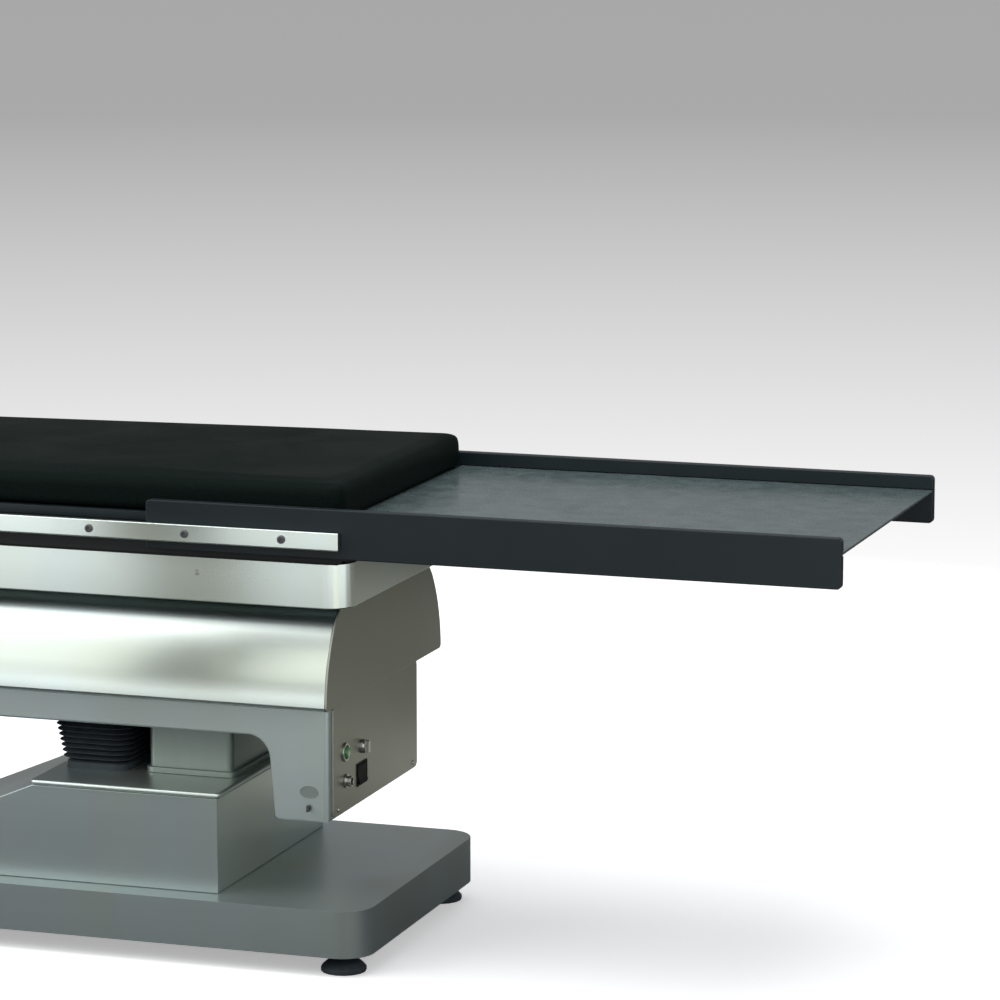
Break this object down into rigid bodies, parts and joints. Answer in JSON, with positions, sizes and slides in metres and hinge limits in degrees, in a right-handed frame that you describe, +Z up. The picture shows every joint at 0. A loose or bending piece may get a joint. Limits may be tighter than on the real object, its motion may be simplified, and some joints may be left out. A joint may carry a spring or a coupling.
{
  "type": "radiography table",
  "caption": "Pedestal radiography table with a padded top on a tilting, lifting column, steel side rails, stainless covers, and a pull-out radiolucent leaf.",
  "frame": {"origin": "centre of the bounding box at floor level, with the table in its lowest, level position", "axes": "+X along the top towards the pull-out leaf, +Y towards the far side away from the controls, +Z up"},
  "size_m": [2.194, 0.572, 0.694],
  "materials": {
    "brushed_steel": "brushed stainless sheet, soft sheen",
    "satin_steel": null,
    "machined_steel": "turned and ground steel",
    "painted_steel": "matt black paint",
    "cast_iron": "grey casting",
    "black_rubber": "matt black rubber",
    "black_vinyl": "near-black coated fabric with fine grain",
    "dark_laminate": "blue-black laminate, satin",
    "grey_composite": "blue-grey radiolucent composite",
    "green_lens": "green lens",
    "black_plastic": "black moulding"
  },
  "bodies": {
    "base": {"base_chassis": "painted_steel", "base_deck": "brushed_steel", "base_tower": "brushed_steel", "base_lid": "brushed_steel", "power_housing": "satin_steel", "bellows": "black_rubber", "outer_column": "machined_steel", "lift_barrel": "cast_iron", "foot_near_left": "black_rubber", "foot_near_right": "black_rubber", "foot_far_left": "black_rubber", "foot_far_right": "black_rubber"},
    "column_middle": {"middle_column": "machined_steel", "lift_sleeve": "machined_steel"},
    "column": {"inner_column": "machined_steel", "lift_ram": "machined_steel", "column_head": "cast_iron", "trunnion_pin": "machined_steel"},
    "head": {"head_frame": "painted_steel", "hood_canopy": "brushed_steel", "hood_end_right": "satin_steel", "hood_end_left": "satin_steel", "skirt_shell": "brushed_steel", "control_panel": "satin_steel", "pitch_gearmotor": "cast_iron", "roll_gearmotor": "cast_iron", "handset_socket": "machined_steel", "earth_stud": "cast_iron"},
    "button": {"green_button": "green_lens"},
    "key": {"key_switch": "machined_steel"},
    "rocker": {"rocker_switch": "black_plastic"},
    "saddle": {"saddle_cover": "brushed_steel", "saddle_frame": "painted_steel", "roll_shaft": "machined_steel", "slide_guide_near": "machined_steel", "slide_guide_far": "machined_steel"},
    "top": {"frame_side_near": "painted_steel", "frame_side_far": "painted_steel", "frame_cross_left": "painted_steel", "frame_cross_middle": "painted_steel", "frame_cross_right": "painted_steel", "top_panel": "dark_laminate", "mattress": "black_vinyl", "side_rail_near": "brushed_steel", "side_rail_far": "brushed_steel", "rail_spacer_near_1": "machined_steel", "rail_spacer_near_2": "machined_steel", "rail_spacer_near_3": "machined_steel", "rail_spacer_near_4": "machined_steel", "rail_spacer_near_5": "machined_steel", "rail_spacer_far_1": "machined_steel", "rail_spacer_far_2": "machined_steel", "rail_spacer_far_3": "machined_steel", "rail_spacer_far_4": "machined_steel", "rail_spacer_far_5": "machined_steel"},
    "leaf": {"leaf_board_near": "dark_laminate", "leaf_board_far": "dark_laminate", "leaf_tray": "grey_composite", "leaf_tie_1": "dark_laminate", "leaf_tie_2": "dark_laminate"}
  },
  "joints": [
    {"name": "column_lift", "type": "slide", "parent": "base", "child": "column", "axis": [0, 0, 1], "range_m": [0, 0.28], "deforming": ["bellows"]},
    {"name": "middle_stage", "type": "slide", "parent": "base", "child": "column_middle", "axis": [0, 0, 1], "range_m": [0, 0.14]},
    {"name": "head_pitch", "type": "hinge", "parent": "column", "child": "head", "pos_m": [-0.032, 0, 0.404], "axis": [0, 1, 0], "range_deg": [-15, 15]},
    {"name": "saddle_roll", "type": "hinge", "parent": "head", "child": "saddle", "pos_m": [0, 0, 0.448], "axis": [1, 0, 0], "range_deg": [-12, 12]},
    {"name": "top_slide", "type": "slide", "parent": "saddle", "child": "top", "axis": [1, 0, 0], "range_m": [-0.15, 0.15]},
    {"name": "leaf_pull", "type": "slide", "parent": "top", "child": "leaf", "axis": [1, 0, 0], "range_m": [0, 0.28]},
    {"name": "green_button_press", "type": "slide", "parent": "head", "child": "button", "axis": [-1, 0, 0], "range_m": [0, 0.003], "stiffness_N_per_m": 400, "springref_m": -0.003},
    {"name": "key_turn", "type": "hinge", "parent": "head", "child": "key", "pos_m": [0.3503, -0.059, 0.287], "axis": [1, 0, 0], "range_deg": [0, 90]},
    {"name": "rocker_press", "type": "hinge", "parent": "head", "child": "rocker", "pos_m": [0.3488, -0.062, 0.249], "axis": [0, -1, 0], "range_deg": [0, 9]}
  ],
  "couplings": [
    {"joint": "middle_stage", "follows": "column_lift", "ratio": 0.5}
  ]
}
